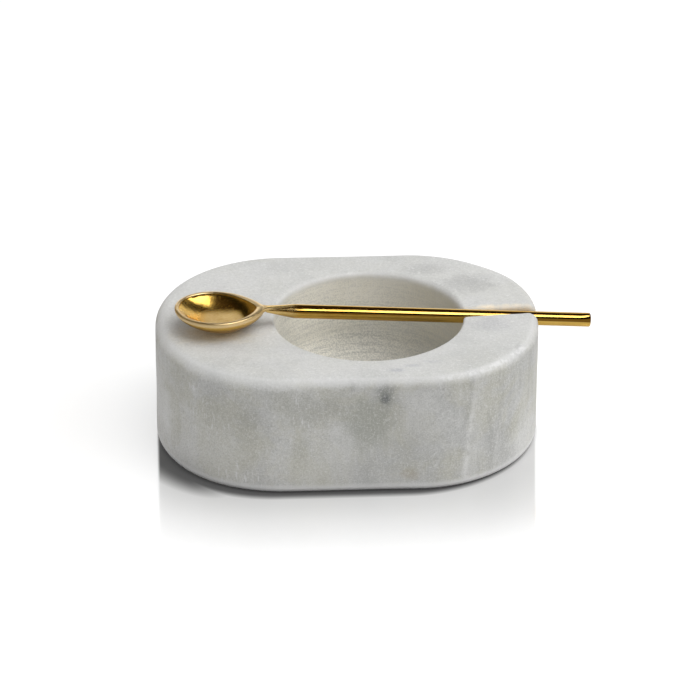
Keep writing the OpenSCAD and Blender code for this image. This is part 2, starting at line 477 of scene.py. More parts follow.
def spoonPlaces():
    lean = math.radians(spoon["bowlLean"])
    underside = math.radians(spoon["undersideAngle"])
    front = spoon["wideShare"] * spoon["bowlLong"]
    back = spoon["bowlLong"] - front
    deep = (spoon["deepShare"] - spoon["wideShare"]) * spoon["bowlLong"]
    rest = deep + (back - deep) * math.cos(underside)
    wide = spoon["overhang"] - spoon["long"] + front
    tip = wide + back + spoon["lapGap"]
    rim = block["height"] + spoon["seatGap"] + spoon["bowlHigh"] * math.cos(lean) + rest * math.sin(lean)
    tipAxis = rim - (tip - wide) * math.tan(lean) - spoon["tongueStep"] - spoon["tipRise"]
    seatAxis = block["height"] - block["grooveDeep"] + spoon["seatGap"] + spoon["rod"] / 2
    fall = math.atan((tipAxis - seatAxis) / -tip)
    line = Matrix.Translation((block["length"] / 2, block["grooveEndY"], 0))
    line = line @ Matrix.Rotation(math.radians(block["grooveYaw"]), 4, "Z")
    onRim = line @ Matrix.Translation((wide, 0, rim)) @ Matrix.Rotation(lean, 4, "Y")
    onHandle = line @ Matrix.Translation((tip, 0, tipAxis)) @ Matrix.Rotation(fall, 4, "Y")
    handleLong = (spoon["overhang"] - tip) / math.cos(fall)
    return {
        "front": front, "back": back, "deep": deep,
        "onRim": onRim, "onHandle": onHandle, "handleLong": handleLong,
    }


places = spoonPlaces()


def carry(matrix, points):
    turn = np.array(matrix.to_3x3())
    return np.asarray(points) @ turn.T + np.array(matrix.translation)


def outlineHalf(q, halfWidth):
    power = np.where(q < 0, 1, spoon["neckPoint"])
    return halfWidth * np.maximum(np.cos(q), 0) ** power


# The bowl's outline as a closed ring, drawn in by an inset and shrunk towards its deepest place
def bowlRing(inset, share, z):
    half = spoon["bowlPoints"] // 2
    index = np.arange(spoon["bowlPoints"])
    side = np.where(index < half, 1, -1)
    step = np.where(index < half, index, spoon["bowlPoints"] - index)
    q = -math.pi / 2 + math.pi * step / half
    front = (places["front"] - inset) * share ** spoon["tipSlope"]
    back = (places["back"] - inset * spoon["neckWallShare"]) * share
    x = places["deep"] * (1 - share) + np.sin(q) * np.where(q < 0, front, back)
    y = -side * outlineHalf(q, (spoon["bowlAcross"] / 2 - inset) * share)
    return np.stack([x, y, np.full(len(x), z)], -1)


def tongueOutline():
    half = spoon["tipAcross"] / 2
    start = places["back"] - spoon["bowlWall"]
    q = np.array(math.asin(start / places["back"]))
    root = spoon["rootShare"] * float(outlineHalf(q, spoon["bowlAcross"] / 2))
    flare = max(root - half, 0)
    flareLong = 2 * spoon["bowlWall"]
    stop = places["back"] + spoon["lapGap"] + spoon["tongueLong"] - half
    steps, endSteps = spoon["tongueSteps"]
    side = [(start + flareLong * i / steps, half + flare * (1 - i / steps) ** 2) for i in range(steps + 1)]
    turns = [math.radians(90 - 180 * i / endSteps) for i in range(1, endSteps)]
    end = [(stop, half)] + [(stop + half * math.cos(a), half * math.sin(a)) for a in turns] + [(stop, -half)]
    return side + end + [(x, -y) for x, y in reversed(side)]


def makeTongue():
    outline = tongueOutline()
    root = outline[0][0]
    edge = spoon["tongueEdge"]
    top = -spoon["tongueStep"]
    levels = [(edge * inset, top - edge * drop) for inset, drop in spoon["tongueRound"]]
    levels.append((0, top - spoon["tongueThick"]))
    rings = []
    for inset, z in reversed(levels):
        ring = []
        for x, y in outline:
            far = math.hypot(x - root, y)
            share = (far - inset) / far if x > root else (abs(y) - inset) / abs(y)
            ring.append((root + (x - root) * share, y * share, z))
        rings.append(np.array(ring[::-1]))
    points, faces = skin(rings)
    return meshObject("tongue", carry(places["onRim"], points), faces)


# The bowl's rings from its foot up the outside, over the lip and down into the hollow
def bowlRings():
    wall = spoon["bowlWall"]
    lip = wall * spoon["lipShare"]
    underside = math.radians(spoon["undersideAngle"])
    turns = [underside * k / spoon["bowlRings"] for k in range(spoon["bowlRings"] + 1)]
    bend = [math.pi / 2 * k / spoon["lipRings"] for k in range(1, spoon["lipRings"] + 1)]
    high = spoon["bowlHigh"] - lip
    outer = [
        bowlRing(0, math.cos(a), -lip - high * math.sin(a) / math.sin(underside))
        for a in reversed(turns)
    ]
    edge = [(lip * (1 - math.cos(b)), -lip * (1 - math.sin(b))) for b in bend]
    over = [bowlRing(inset, 1, z) for inset, z in edge]
    back = [bowlRing(wall - inset, 1, z) for inset, z in reversed(edge)]
    # The hollow starts at a slope, so its wall is thicker just under the rim
    high -= wall
    slope = math.radians(spoon["hollowSlope"])
    inner = []
    for turn in turns:
        a = slope + (underside - slope) * turn / underside
        drop = (math.sin(a) - math.sin(slope)) / (math.sin(underside) - math.sin(slope))
        inner.append(bowlRing(wall, math.cos(a) / math.cos(slope), -lip - high * drop))
    return outer + over + back + inner


def makeBowl():
    points, faces = skin(bowlRings())
    piece = meshObject("spoonBowl", carry(places["onRim"], points), faces)
    combine(piece, makeTongue(), "UNION")
    smoothShade(piece, spoon["sharpAngle"])
    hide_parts("spoon_bowl")
    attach(piece, "spoon")
    print("spoon bowl:", len(piece.data.polygons), "faces")
    return piece


# The handle's rings from its flat forged tip through the taper to its eased end
def handleRings():
    count = spoon["rodPoints"]
    angle = np.arange(count) * 2 * math.pi / count
    cosine, sine = np.cos(angle), np.sin(angle)
    rod = spoon["rod"] / 2
    tipHalf = (spoon["tongueThick"] + spoon["braze"] + spoon["tipThick"]) / 2
    rings = []
    for k in range(spoon["taperRings"] + 1):
        share = 1 - k / spoon["taperRings"]
        halfWidth = rod + (spoon["tipAcross"] / 2 - rod) * share
        halfHigh = rod + (tipHalf - rod) * share
        power = 2 / (2 + share)      # squarer towards the tip
        rings.append(np.stack([
            np.full(count, spoon["taper"] * (1 - share)),
            halfWidth * np.sign(cosine) * np.abs(cosine) ** power,
            (spoon["tipRise"] - tipHalf) * share + halfHigh * np.sign(sine) * np.abs(sine) ** power,
        ], -1))
    last = places["handleLong"]
    edge = spoon["rodEdge"]
    for x in np.linspace(spoon["taper"], last - edge, spoon["rodRings"])[1:]:
        rings.append(np.stack([np.full(count, x), rod * cosine, rod * sine], -1))
    for turn in map(math.radians, spoon["rodEdgeTurns"]):
        small = rod - edge * (1 - math.cos(turn))
        x = last - edge + edge * math.sin(turn)
        rings.append(np.stack([np.full(count, x), small * cosine, small * sine], -1))
    return rings


# Takes the handle's tip away where the tongue and the braze lie over it
def makeLapCut():
    flat = spoon["tongueStep"] + spoon["tongueThick"] + spoon["braze"]
    before = spoon["lapCutBefore"]
    low = np.array((places["back"] - before, -spoon["rod"], -flat))
    long = before + spoon["tongueLong"] + 2 * spoon["lapGap"]
    high = low + np.array((long, 2 * spoon["rod"], spoon["rod"]))
    foot = np.array([np.where(pick, high, low) for pick in ((0, 0, 0), (1, 0, 0), (1, 1, 0), (0, 1, 0))])
    points, faces = skin([foot, foot + np.array((0, 0, spoon["rod"]))])
    return meshObject("lapCut", carry(places["onRim"], points), faces)


def makeHandle():
    points, faces = skin(handleRings())
    piece = meshObject("spoonHandle", carry(places["onHandle"], points), faces)
    combine(piece, makeLapCut(), "DIFFERENCE")
    smoothShade(piece, spoon["sharpAngle"])
    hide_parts("spoon_handle")
    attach(piece, "spoon")
    print("spoon handle:", len(piece.data.polygons), "faces")
    return piece


blockPiece = makeBlock()
bowlPiece = makeBowl()
handlePiece = makeHandle()
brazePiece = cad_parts["braze_joint"]


# Honed marble: soft clouds, a fine crystal grain and a few marks of its own, with painted light and shade:
# paler walls, painted highlights and bounce light on the edges, and painted light, shade and reflections
# in some spots and in the well. A cut is the two values between which a layer comes in, then its strength
# if it has one. A span is in millimetres
marble = {
    "pale": (0.635, 0.635, 0.622, 1),
    # A paler base for the walls: painted light
    "wallPaintedLift": (0.75, 0.75, 0.73, 1),
    "cloud": (0.51, 0.515, 0.5, 1),
    "olive": (0.6, 0.59, 0.495, 1),
    "crystal": (0.84, 0.84, 0.82, 1),
    "shade": (0.36, 0.36, 0.34, 1),
    # Painted light and shade for the well: a lit warm tone and a shaded one
    "wellLitTone": (1.0, 0.965, 0.865, 1),
    "wellShadedTone": (0.57, 0.53, 0.43, 1),
    "roughness": 0.42,
    "ior": 1.5,
    "bump": (0.5, 0.14),        # strength, and depth in millimetres
    "wallSpan": (33, 35.2),
    "frontSpan": (-33, -27),
    "clouds": {"scale": 55, "detail": 6, "roughness": 0.6, "twist": 0.5},
    "cloudCut": (0.4, 0.66, 0.45),
    "broad": {"scale": 18, "detail": 3, "roughness": 0.5, "twist": 0.3},
    "broadCut": (0.42, 0.66, 0.4),
    "moss": {"scale": 52, "detail": 5, "roughness": 0.62, "twist": 0.6, "move": (0.3, 0.1, 0.2)},
    "mossCut": (0.42, 0.62),
    "mossShares": (0.5, 0.12),               # more on the walls, and everywhere
    "streaks": {"scale": 330, "detail": 4, "roughness": 0.6, "pull": (1, 1, 0.14)},
    "streakDark": (0.34, 0.5),
    "streakPale": (0.54, 0.7),
    "streakSpan": (12, 34),
    "streakShares": (0.18, 0.09),            # more at the right, and everywhere
    "markEdge": {"scale": 210, "detail": 4, "roughness": 0.65},
    "markRagged": 1.3,
    "markFade": (0.2, 1.0),
    "sway": {"scale": 55, "detail": 3, "roughness": 0.5, "pull": (0.4, 0.4, 1)},
    "swayWide": 4.5,
    "veinLean": 0.075,
    "veinMiddle": 18,
    "veinWear": {"scale": 240, "detail": 3, "roughness": 0.6},
    "veinWearCut": (0.3, 0.55),
    "veinTopSpan": (19, 26),
    "veinTopFade": 0.55,
    "grain": {"scale": 1250, "detail": 3, "roughness": 0.62},
    "grainPale": (0.5, 0.7),
    "grainShares": (0.12, 0.24),             # more on the walls, and everywhere
    "grainDark": (0.32, 0.48, 0.18),
    "bits": {"scale": 700, "detail": 2, "roughness": 0.5, "move": (0.5, 0.2, 0.7)},
    "bitCut": (0.65, 0.73, 0.35),
    "scratches": {"scale": 1700, "detail": 2, "roughness": 0.5, "pull": (1, 1, 0.2)},
    "scratchCut": (0.58, 0.7, 0.7),
    "scratchPatch": {"scale": 75, "detail": 2, "roughness": 0.5},
    "scratchPatchCut": (0.45, 0.6),
    "scratchSpan": (-20, 4),
    "scratchFade": 0.7,
    "scratchTone": 0.9,
    "fine": {"scale": 2500, "detail": 2, "roughness": 0.6, "move": (0.9, 0.6, 0.1)},
    "finePale": (0.54, 0.68),
    "fineDark": (0.32, 0.46, 0.7),
    "fineShares": (0.22, 0.2),               # more on the walls, and everywhere
    "fineTone": 0.92,
    # Painted light on the edges: a highlight along the top edge, bounce light along the foot and a flecked
    # highlight on the front right ridge
    "topEdgeSpans": ((32.2, 34.2), (34.9, 35.45)),
    "topEdgeHighlight": (0.82, 0.35),             # a grey, and its strength
    "footEdgeSpan": (1.4, 3.4),
    "footEdgeBounceLight": (0.95, 0.85),            # a grey, and its strength
    "ridgeSpans": ((33.6, 34.4), (34.7, 35.2)),
    "ridgeEndSpan": (18, 30),
    "ridgeFrontSpan": (-22, -12),
    "ridgeBits": (0.46, 0.6, 0.45),
    "ridgeLeast": 0.06,
    "ridgeHighlight": 0.92,
    "wellSpan": (26.6, 27.4),
    "wellTopSpan": (32.5, 35.2),
    "wellToneSpan": (4, 34),
    "wellShare": 0.85,
    "wellLowSpan": (14, 30),
    "wellLowSide": (-12, 6),
    "wellLowShadeShares": (0.28, 0.25),           # more at the right, and everywhere
    "wellLeftSpan": (-18.5, -12.5),
    "wellLeftShadowShare": 0.3,
    "turning": {"scale": 1700, "detail": 3, "roughness": 0.6, "twist": 0.2, "pull": (0.05, 0.05, 1)},
    "turningCut": (0.4, 0.64, 0.22),
    "wellSpeckCut": (0.42, 0.58, 0.4),
    "wellSpeckLess": 0.18,
    "dull": {"scale": 60, "detail": 4, "roughness": 0.6},
    "dullRough": 0.16,
    "bitGloss": (0.6, 0.75, 0.1),
    "reliefShares": (0.5, 0.5, 0.25, 0.9),   # of the grain, dull patches, scratches and turning
}
# Spots on the stone: some are its own stains and veins, and some, marked below, are painted light and
# reflections
# Where each mark lies, its half sizes, its tone and its strength
spotsAndPaintedLight = [
    {"at": (8.7, -39.2, 29.2), "half": (2.2, 5, 2.4), "tone": (0.07, 0.08, 0.09, 1), "share": 0.95},
    {"at": (9.0, -39.2, 31.6), "half": (3.0, 5, 3.4), "tone": (0.22, 0.23, 0.25, 1), "share": 0.4},
    {"at": (9.2, -39.2, 28.8), "half": (5.5, 5, 5.5), "tone": (0.28, 0.29, 0.28, 1), "share": 0.42},
    {"at": (-0.2, -39.2, 33.2), "half": (1.5, 3, 2.2), "tone": (0.2, 0.21, 0.22, 1), "share": 0.3},
    {"at": (12, -34, 35.5), "half": (3.4, 1.5, 2), "tone": (0.36, 0.37, 0.41, 1), "share": 0.5},
    {"at": (17, -31.6, 35.5), "half": (3.6, 1.3, 2), "tone": (0.36, 0.37, 0.41, 1), "share": 0.4},
    {"at": (22, -29.6, 35.5), "half": (3.4, 1.2, 2), "tone": (0.4, 0.41, 0.44, 1), "share": 0.35},
    {"at": (35.4, 17.4, 35.5), "half": (12, 8, 5), "tone": (0.42, 0.42, 0.41, 1), "share": 0.65},
    {"at": (-12, 30, 35.5), "half": (16, 6, 4), "tone": (0.46, 0.46, 0.45, 1), "share": 0.25},
    {"at": (25, 27, 35.5), "half": (9, 6, 5), "tone": (0.44, 0.44, 0.43, 1), "share": 0.55},
    {"at": (40, -8, 35.5), "half": (8, 6, 4), "tone": (0.46, 0.46, 0.48, 1), "share": 0.45},
    {"at": (46.8, -22, 34.5), "half": (1.6, 4.5, 2), "tone": (0.38, 0.38, 0.38, 1), "share": 0.45},
    {"at": (15.7, -39.2, 5.5), "half": (3.6, 4, 2.8), "tone": (0.4, 0.33, 0.2, 1), "share": 0.35},
    {"at": (-20, -39.2, 29), "half": (5, 5, 6), "tone": (0.4, 0.4, 0.31, 1), "share": 0.35},
    {"at": (-29, -37.5, 24), "half": (4, 5, 7), "tone": (0.42, 0.42, 0.35, 1), "share": 0.3},
    {"at": (-14, -39.2, 14), "half": (4, 5, 7), "tone": (0.42, 0.42, 0.34, 1), "share": 0.3},
    {"at": (4, -39.2, 22), "half": (11, 5, 11), "tone": (0.43, 0.44, 0.39, 1), "share": 0.75},
    # Painted light: the left end and the low front-left are lifted paler where the lamp at the right leaves
    # them dim
    {"at": (-54, -8, 16), "half": (11, 22, 24), "tone": (0.9, 0.9, 0.89, 1), "share": 0.7},
    {"at": (-40, -34, 10), "half": (15, 14, 15), "tone": (0.86, 0.86, 0.84, 1), "share": 0.3},
    {"at": (-11, -39.2, 26), "half": (12, 6, 8), "tone": (0.45, 0.45, 0.4, 1), "share": 0.6},
    # Painted light: a paler patch low on the front right
    {"at": (50, -20, 5), "half": (12, 19, 14), "tone": (0.88, 0.88, 0.86, 1), "share": 0.5},
    # Painted reflection: the bowl's warm light on the top under it
    {"at": (-38, -10.5, 35.5), "half": (15, 8, 3), "tone": (0.8, 0.7, 0.49, 1), "share": 0.4},
    # Painted reflection: the brass rod's warm light on the groove's far wall
    {"at": (50, 2.2, 32), "half": (22, 2.4, 7.5), "tone": (1.0, 0.85, 0.61, 1), "share": 1.0},
]
# Pale upright veins on the front: their place along the block, half width and strength
paleVeins = [
    {"x": 32.6, "half": 1.4, "share": 0.95},
    {"x": 34.6, "half": 2.6, "share": 0.25},
    {"x": 41.6, "half": 0.9, "share": 0.25},
    {"x": -10.5, "half": 3.0, "share": 0.12},
]


# Each of the stone's layers goes over the colour that it is given, and the clouds come first

def stoneClouds(graph, where, onWall):
    clouds = graph.noise(where, **marble["clouds"]).layer(*marble["cloudCut"])
    clouds = clouds + graph.noise(where, **marble["broad"]).layer(*marble["broadCut"])
    # The walls get a paler base than the top: painted light, lifting them where the lamps leave them dim
    colour = graph.blend(clouds, graph.blend(onWall, marble["pale"], marble["wallPaintedLift"]), marble["cloud"])
    # The walls are a little greener and more mottled than the top
    wallShare, share = marble["mossShares"]
    moss = graph.noise(where, **marble["moss"]).step(*marble["mossCut"]) * (onWall * wallShare + share)
    return graph.blend(moss, colour, marble["olive"])


def stoneStreaks(graph, where, along, onWall, colour):
    endShare, share = marble["streakShares"]
    streaks = graph.noise(where, **marble["streaks"])
    veined = onWall * (along.rise(marble["streakSpan"]) * endShare + share)
    colour = graph.blend((1.0 - streaks.step(*marble["streakDark"])) * veined, colour, marble["shade"])
    return graph.blend(streaks.step(*marble["streakPale"]) * veined, colour, marble["crystal"])


# Lays the spots on the stone: its own marks, and the painted light and reflections among them
def stoneSpotsAndPaintedLight(graph, where, colour):
    ragged = (graph.noise(where, **marble["markEdge"]) - 0.5) * marble["markRagged"]
    for mark in spotsAndPaintedLight:
        moved = graph.shift(where, [-c * mm for c in mark["at"]])
        scaled = graph.stretch(moved, [1 / (h * mm) for h in mark["half"]])
        spot = 1.0 - (graph.length(scaled) + ragged).step(*marble["markFade"])
        colour = graph.blend(spot * mark["share"], colour, mark["tone"])
    return colour


def stoneVeins(graph, where, onWall, colour):
    along, depth, height = graph.parts(where)
    onFront = (1.0 - depth.rise(marble["frontSpan"])) * onWall
    sway = (graph.noise(where, **marble["sway"]) - 0.5) * (marble["swayWide"] * mm)
    worn = graph.noise(where, **marble["veinWear"]).step(*marble["veinWearCut"])
    worn = worn * (1.0 - height.rise(marble["veinTopSpan"]) * marble["veinTopFade"])
    for vein in paleVeins:
        off = along - vein["x"] * mm + sway - (height - marble["veinMiddle"] * mm) * marble["veinLean"]
        line = 1.0 - off.high(0.0 - off).rise((0, vein["half"]))
        colour = graph.blend(line * onFront * worn * vein["share"], colour, marble["crystal"])
    return colour


def stoneGrain(graph, onWall, grain, bits, colour):
    wallShare, share = marble["grainShares"]
    pale = grain.step(*marble["grainPale"]) * (onWall * wallShare + share)
    colour = graph.blend(pale, colour, marble["crystal"])
    start, end, share = marble["grainDark"]
    colour = graph.blend((1.0 - grain.step(start, end)) * share, colour, marble["shade"])
    return graph.blend(bits.layer(*marble["bitCut"]), colour, marble["crystal"])


# Short pale scratches, mostly low on the left of the front
def stoneScratches(graph, where, along, onWall, scratches, colour):
    patch = graph.noise(where, **marble["scratchPatch"]).step(*marble["scratchPatchCut"])
    patch = patch * (1.0 - along.rise(marble["scratchSpan"]) * marble["scratchFade"])
    share = scratches.layer(*marble["scratchCut"]) * patch * onWall
    return graph.blend(share, colour, grey(marble["scratchTone"]))


# The finest crystals, as sharp specks
def stoneSpecks(graph, onWall, fine, colour):
    wallShare, share = marble["fineShares"]
    sparkle = onWall * wallShare + share
    colour = graph.blend(fine.step(*marble["finePale"]) * sparkle, colour, grey(marble["fineTone"]))
    start, end, share = marble["fineDark"]
    return graph.blend((1.0 - fine.step(start, end)) * sparkle * share, colour, marble["shade"])


# Painted light on the edges, first a painted highlight along the top edge
def stonePaintedEdgeLight(graph, where, bits, colour):
    along, depth, height = graph.parts(where)
    rise, fall = marble["topEdgeSpans"]
    tone, share = marble["topEdgeHighlight"]
    colour = graph.blend(height.rise(rise) * (1.0 - height.rise(fall)) * share, colour, grey(tone))
    # Painted bounce light along the foot, where the table lights the eased edge
    tone, share = marble["footEdgeBounceLight"]
    colour = graph.blend((1.0 - height.rise(marble["footEdgeSpan"])) * share, colour, grey(tone))
    # A painted highlight along the front right of the top edge, flecked with crystals
    rise, fall = marble["ridgeSpans"]
    ridge = height.rise(rise) * (1.0 - height.rise(fall)) * along.rise(marble["ridgeEndSpan"])
    ridge = ridge * (1.0 - depth.rise(marble["ridgeFrontSpan"]))
    ridge = ridge * (bits.layer(*marble["ridgeBits"]) + marble["ridgeLeast"])
    return graph.blend(ridge, colour, grey(marble["ridgeHighlight"]))


# The well's painted light and shade: a pale warm painted glow on the left that turns to painted shade on the
# right, painted shade low down and a painted shadow just inside the left rim, with specks and the marks of
# turning
def stoneWellLightAndTurning(graph, where, inWell, fine, turning, colour):
    along, _, height = graph.parts(where)
    tone = graph.blend(along.rise(marble["wellToneSpan"]), marble["wellLitTone"], marble["wellShadedTone"])
    speck = fine.layer(*marble["wellSpeckCut"]) + turning.layer(*marble["turningCut"])
    sideShare, share = marble["wellLowShadeShares"]
    # Painted shade low in the well, more at the right
    low = 1.0 - height.rise(marble["wellLowSpan"])
    low = low * (along.rise(marble["wellLowSide"]) * sideShare + share)
    # A painted shadow just inside the left rim
    left = (1.0 - along.rise(marble["wellLeftSpan"])) * marble["wellLeftShadowShare"]
    tone = graph.blend(speck - marble["wellSpeckLess"] + low + left, tone, marble["shade"])
    return graph.blend(inWell * marble["wellShare"], colour, tone)


def makeMarble():
    material, graph = newFinish("honedMarble")
    where = graph.surfacePlace()
    along, _, height = graph.parts(where)
    onWall = 1.0 - height.rise(marble["wallSpan"])
    fromWell = graph.shift(where, (-block["wellX"] * mm, block["wellFront"] * mm, 0))
    across = graph.length(graph.stretch(fromWell, (1, 1, 0)))
    inWell = (1.0 - across.rise(marble["wellSpan"])) * (1.0 - height.rise(marble["wellTopSpan"]))
    grain = graph.noise(where, **marble["grain"])
    bits = graph.noise(where, **marble["bits"])
    fine = graph.noise(where, **marble["fine"])
    scratches = graph.noise(where, **marble["scratches"])
    turning = graph.noise(where, **marble["turning"])
    dull = graph.noise(where, **marble["dull"])
    colour = stoneClouds(graph, where, onWall)
    colour = stoneStreaks(graph, where, along, onWall, colour)
    colour = stoneSpotsAndPaintedLight(graph, where, colour)
    colour = stoneVeins(graph, where, onWall, colour)
    colour = stoneGrain(graph, onWall, grain, bits, colour)
    colour = stoneScratches(graph, where, along, onWall, scratches, colour)
    colour = stoneSpecks(graph, onWall, fine, colour)
    colour = stonePaintedEdgeLight(graph, where, bits, colour)
    colour = stoneWellLightAndTurning(graph, where, inWell, fine, turning, colour)
    rough = marble["roughness"] + dull * marble["dullRough"] - bits.layer(*marble["bitGloss"])
    shares = marble["reliefShares"]
    relief = grain * shares[0] + dull * shares[1] + scratches * shares[2] + turning * inWell * shares[3]
    varying = {"Base Color": colour, "Roughness": rough, "Normal": makeBump(graph, marble["bump"], relief)}
    closeFinish(graph, {"IOR": marble["ior"], "Metallic": 0.0}, varying)
    return material


# Brushed brass: a warm tone, long draw lines, scuffs and a duller, darker bloom
brass = {
    "bright": (0.8, 0.52, 0.13, 1),
    "deep": (0.65, 0.38, 0.06, 1),
    # A dark tone for undersides: painted shade under the handle, and the bowl's darker foot
    "darkUnder": (0.26, 0.135, 0.012, 1),
    "rim": (0.98, 0.76, 0.43, 1),
    "worn": (0.98, 0.74, 0.36, 1),
    "roughness": 0.06,
    "bowlSatin": 0.16,          # added to the roughness
    "handleSatin": 0.0,
    "brazeSatin": 0.2,
    "bowlLines": (420, 2200, 420),
    "handleLines": (60, 2600, 2600),
    "brazeLines": (700, 700, 700),
    "bump": (0.3, 0.03),        # strength, and depth in millimetres
    "lines": {"scale": 1.0, "detail": 4, "roughness": 0.65},
    "lineShare": 0.15,
    "scuffs": {"scale": 1.0, "detail": 2, "roughness": 0.5},
    "scuffFiner": 2.4,
    "scuffCut": (0.42, 0.6, 0.35),
    "scuffRough": (0.5, 0.8, 0.06),
    "patches": {"scale": 130, "detail": 4, "roughness": 0.6, "twist": 0.4},
    "patchCut": (0.4, 0.72, 0.4),
    "patchRough": (0.4, 0.8, 0.05),
    "reliefShares": (0.7, 0.3),              # of the draw lines, and of the scuffs
    "reliefPatch": (0.4, 0.6, 0.7),
    "reliefLeast": 0.5,
    "forgedSpan": (6.8, 9.8),
    "forgedScuffs": (0.35, 0.6, 0.4),
    "forgedLeast": 0.6,
    "forgedShares": (0.6, 0.17),             # of the tone, and of the roughness
    # Painted shade under the handle
    "underShadeSpan": (-1.7, 0.5),
    "underShadeEndSpan": (24, 31),
    "underShadePatches": (0.4, 0.6),
    "topSpan": (-0.5, -0.1),
    "topShare": 0.8,
    "topRoughness": 0.3,
    # The bowl's worn floor, partly wear and partly a painted reflection
    "wornSpan": (-4.2, -2.8),
    "wornReach": (7.8, 9.2),
    "wornBackSpan": (3, 6.5),
    "wornScuffs": (0.35, 0.6, 0.5),
    "wornLeast": 0.5,
    "wornAndReflectionShares": (0.85, 0.3, 0.5),          # of the tone, the roughness and the lost metal
    # The front lip's painted highlight
    "lipSpan": (-1.7, -1),
    "lipBackSpan": (-4.5, 2),
    "lipHighlightShares": (0.8, 0.12, 0.5),           # of the same three
    "dents": {"scale": 330, "detail": 2, "roughness": 0.5},
    "dentDeep": 14,
    "outerReach": (7.2, 8.8),
    "outerSpan": (-3.4, -0.9),
    "outerShare": 0.75,
}


# What all the brass has, with its draw lines along the axes of the piece's own place
class BrassFinish:
    def __init__(self, name, place, lines, satin):
        self.material, graph = newFinish(name)
        self.graph = graph
        self.place = place
        self.where = graph.surfacePlace()
        turn = {"Vector": self.where, "Rotation": tuple(place.to_3x3().inverted().to_euler())}
        turned = graph.add("ShaderNodeMapping", {"vector_type": "POINT"}, turn)
        lineNoise = graph.noise(turned, pull=lines, **brass["lines"])
        self.scuffs = graph.noise(turned, pull=[c * brass["scuffFiner"] for c in lines], **brass["scuffs"])
        self.patches = graph.noise(self.where, **brass["patches"])
        uneven = self.patches.layer(*brass["patchCut"]) + lineNoise * brass["lineShare"]
        uneven = uneven + self.scuffs.layer(*brass["scuffCut"])
        self.colour = graph.blend(uneven, brass["bright"], brass["deep"])
        self.rough = brass["roughness"] + satin + self.patches.layer(*brass["patchRough"])
        self.rough = self.rough + self.scuffs.layer(*brass["scuffRough"])
        self.metal = 1.0
        lineShare, scuffShare = brass["reliefShares"]
        self.relief = lineNoise * lineShare + self.scuffs * scuffShare
        self.relief = self.relief * (self.patches.layer(*brass["reliefPatch"]) + brass["reliefLeast"])

    def cover(self, share, tone):
        self.colour = self.graph.blend(share, self.colour, tone)

    # Where a point lies from the start of the piece's own axes, and how far along one of them
    def fromStart(self):
        return self.graph.shift(self.where, [-c for c in self.place.translation * mm])

    def own(self, way):
        return self.graph.along(self.fromStart(), self.place.to_3x3() @ Vector(way))

    def close(self):
        bump = makeBump(self.graph, brass["bump"], self.relief)
        varying = {"Base Color": self.colour, "Metallic": self.metal, "Roughness": self.rough, "Normal": bump}
        closeFinish(self.graph, {}, varying)
        return self.material


def makeHandleBrass():
    finish = BrassFinish("brushedBrassHandle", places["onHandle"], brass["handleLines"], brass["handleSatin"])
    # The forged taper is scuffed to an even satin
    forged = 1.0 - finish.own((1, 0, 0)).rise(brass["forgedSpan"])
    forged = forged * (finish.scuffs.layer(*brass["forgedScuffs"]) + brass["forgedLeast"])
    toneShare, roughShare = brass["forgedShares"]
    finish.rough = finish.rough + forged * roughShare
    finish.cover(forged * toneShare, brass["worn"])
    # Painted shade on the underside of the handle where it lies over the well
    along = finish.graph.parts(finish.where)[0]
    patchShare, least = brass["underShadePatches"]
    underShade = 1.0 - finish.own((0, 0, 1)).rise(brass["underShadeSpan"])
    underShade = underShade * (1.0 - along.rise(brass["underShadeEndSpan"]))
    finish.cover(underShade * (finish.patches * patchShare + least), brass["darkUnder"])
    return finish.close()


# The bowl has a paler trimmed rim, a worn floor, a front lip and dents; the floor's paler tone is partly wear
# and partly a painted reflection, and the lip's paler tone is a painted highlight
def makeBowlBrass():
    finish = BrassFinish("brushedBrassBowl", places["onRim"], brass["bowlLines"], brass["bowlSatin"])
    above, behind = finish.own((0, 0, 1)), finish.own((0, 1, 0))
    reach = finish.graph.length(finish.graph.stretch(finish.fromStart(), (1, 1, 0)))
    onTop = above.rise(brass["topSpan"])
    # The worn floor: partly wear and partly a painted reflection, paler, rougher and less metal
    worn = (1.0 - above.rise(brass["wornSpan"])) * (1.0 - reach.rise(brass["wornReach"]))
    worn = worn * (1.0 - behind.rise(brass["wornBackSpan"]))
    worn = worn * (finish.scuffs.layer(*brass["wornScuffs"]) + brass["wornLeast"])
    wornTone, wornRough, wornMetal = brass["wornAndReflectionShares"]
    # The front lip below the rim: a painted highlight, paler and less metal
    lip = above.rise(brass["lipSpan"]) * (1.0 - behind.rise(brass["lipBackSpan"])) * (1.0 - onTop)
    lipTone, lipRough, lipMetal = brass["lipHighlightShares"]
    finish.cover(worn * wornTone, brass["worn"])
    finish.cover(lip * lipTone, brass["rim"])
    finish.cover(onTop * brass["topShare"], brass["rim"])
    topRough = brass["topRoughness"] - brass["roughness"] - brass["bowlSatin"]
    finish.rough = finish.rough + onTop * topRough + worn * wornRough + lip * lipRough
    finish.metal = 1.0 - worn * wornMetal - lip * lipMetal
    finish.relief = finish.relief + finish.graph.noise(finish.where, **brass["dents"]) * brass["dentDeep"]
    # The outer side is darker towards its foot
    outer = reach.rise(brass["outerReach"]) * (1.0 - above.rise(brass["outerSpan"]))
    finish.cover(outer * brass["outerShare"], brass["darkUnder"])
    return finish.close()


def makeBrazeBrass():
    return BrassFinish("brazeMetal", places["onRim"], brass["brazeLines"], brass["brazeSatin"]).close()


def dress(piece, material):
    piece.data.materials.clear()
    piece.data.materials.append(material)


dress(blockPiece, makeMarble())
dress(bowlPiece, makeBowlBrass())
dress(handlePiece, makeHandleBrass())
dress(brazePiece, makeBrazeBrass())
print("finishes made")


